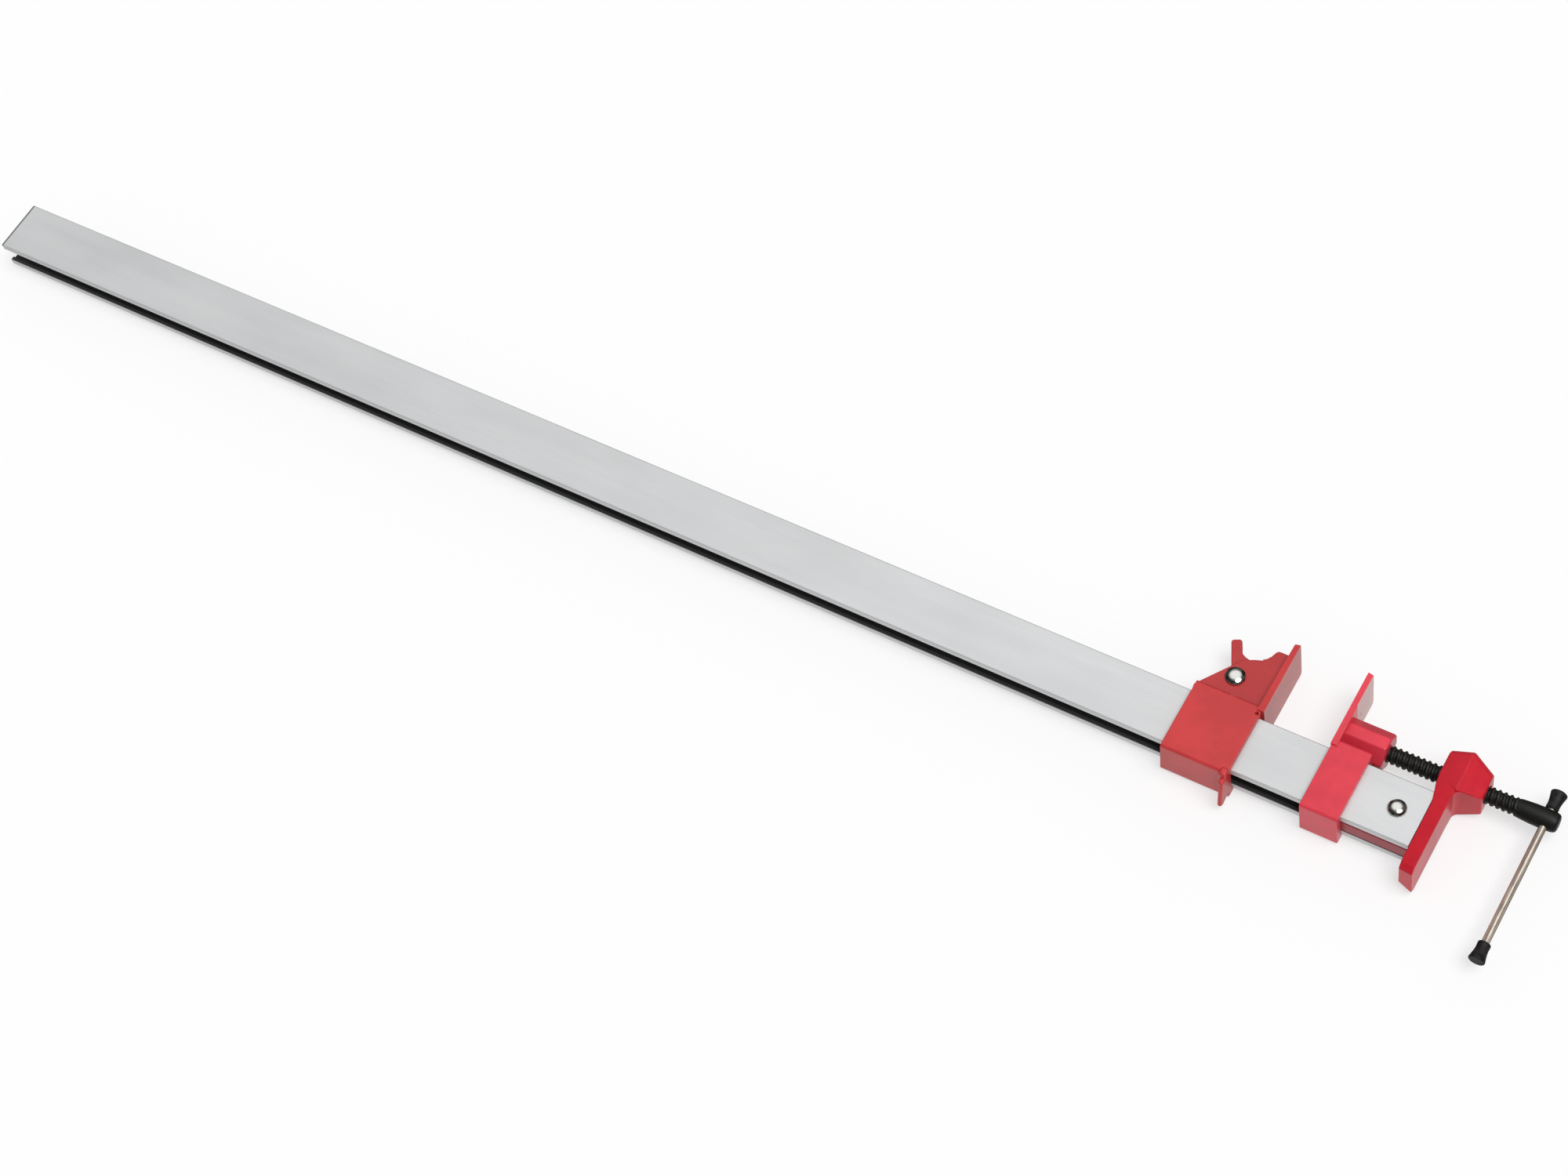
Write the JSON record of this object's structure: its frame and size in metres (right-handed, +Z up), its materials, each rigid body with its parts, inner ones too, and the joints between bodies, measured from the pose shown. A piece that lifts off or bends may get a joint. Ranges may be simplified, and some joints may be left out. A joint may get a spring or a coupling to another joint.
{
  "type": "bar clamp",
  "caption": "Light aluminium bar clamp: channel bar with a slot, a screw-driven head jaw beside an end bracket, a sliding tail jaw with a sprung lever, and a tommy bar with capped ends.",
  "frame": {"origin": "middle of the footprint of the clamp lying on its side, on the surface that it lies on", "axes": "+X along the bar from its free end to the screw, +Y across the bar towards the jaw plates, +Z up out of the surface, square to the bar's broad faces"},
  "size_m": [1.1344, 0.1314, 0.034],
  "materials": {
    "bar_aluminium": "extruded aluminium, fine lengthwise brushing",
    "bracket_paint": "glossy red paint on a casting",
    "head_paint": "glossy bright red paint on a casting",
    "tail_paint": "satin red paint on a casting",
    "rivet_chrome": "polished chrome dome",
    "screw_black": "black oxide steel, matte",
    "rod_steel": "bright drawn steel with fine lengthwise streaks",
    "pin_steel": "plain steel",
    "spring_steel": "drawn spring wire",
    "cap_black": "black moulded rubber, matte"
  },
  "bodies": {
    "frame": {"bar": "bar_aluminium", "end_bracket": "bracket_paint", "bracket_rivet": "rivet_chrome"},
    "head": {"head_jaw": "head_paint", "screw_retaining_pin": "pin_steel"},
    "screw": {"screw": "screw_black"},
    "handle": {"handle_bar": "rod_steel", "handle_cap_upper": "cap_black", "handle_cap_lower": "cap_black"},
    "tail": {"tail_jaw": "tail_paint", "lever_rivet": "rivet_chrome", "lever_spring": "spring_steel"},
    "lever": {"lock_lever": "tail_paint"}
  },
  "joints": [
    {"name": "head_slide", "type": "slide", "parent": "frame", "child": "head", "axis": [1, 0, 0], "range_m": [-0.016, 0.019]},
    {"name": "screw_spin", "type": "hinge", "parent": "head", "child": "screw", "pos_m": [0.5672, 0.03163, 0.017], "axis": [1, 0, 0], "range_deg": [-1610, 1910]},
    {"name": "handle_slide", "type": "slide", "parent": "screw", "child": "handle", "axis": [0, 1, 0], "range_m": [0, 0.078]},
    {"name": "tail_slide", "type": "slide", "parent": "frame", "child": "tail", "axis": [1, 0, 0], "range_m": [-0.889, 0.0254]},
    {"name": "lever_pivot", "type": "hinge", "parent": "tail", "child": "lever", "pos_m": [0.3641, 0.03442, 0.017], "axis": [0, 0, -1], "range_deg": [0, 18], "stiffness_Nm_per_rad": 0.15, "springref_deg": -20.05, "deforming": ["lever_spring"]}
  ],
  "couplings": [
    {"joint": "screw_spin", "follows": "head_slide", "rad_per_m": 1745.3}
  ]
}
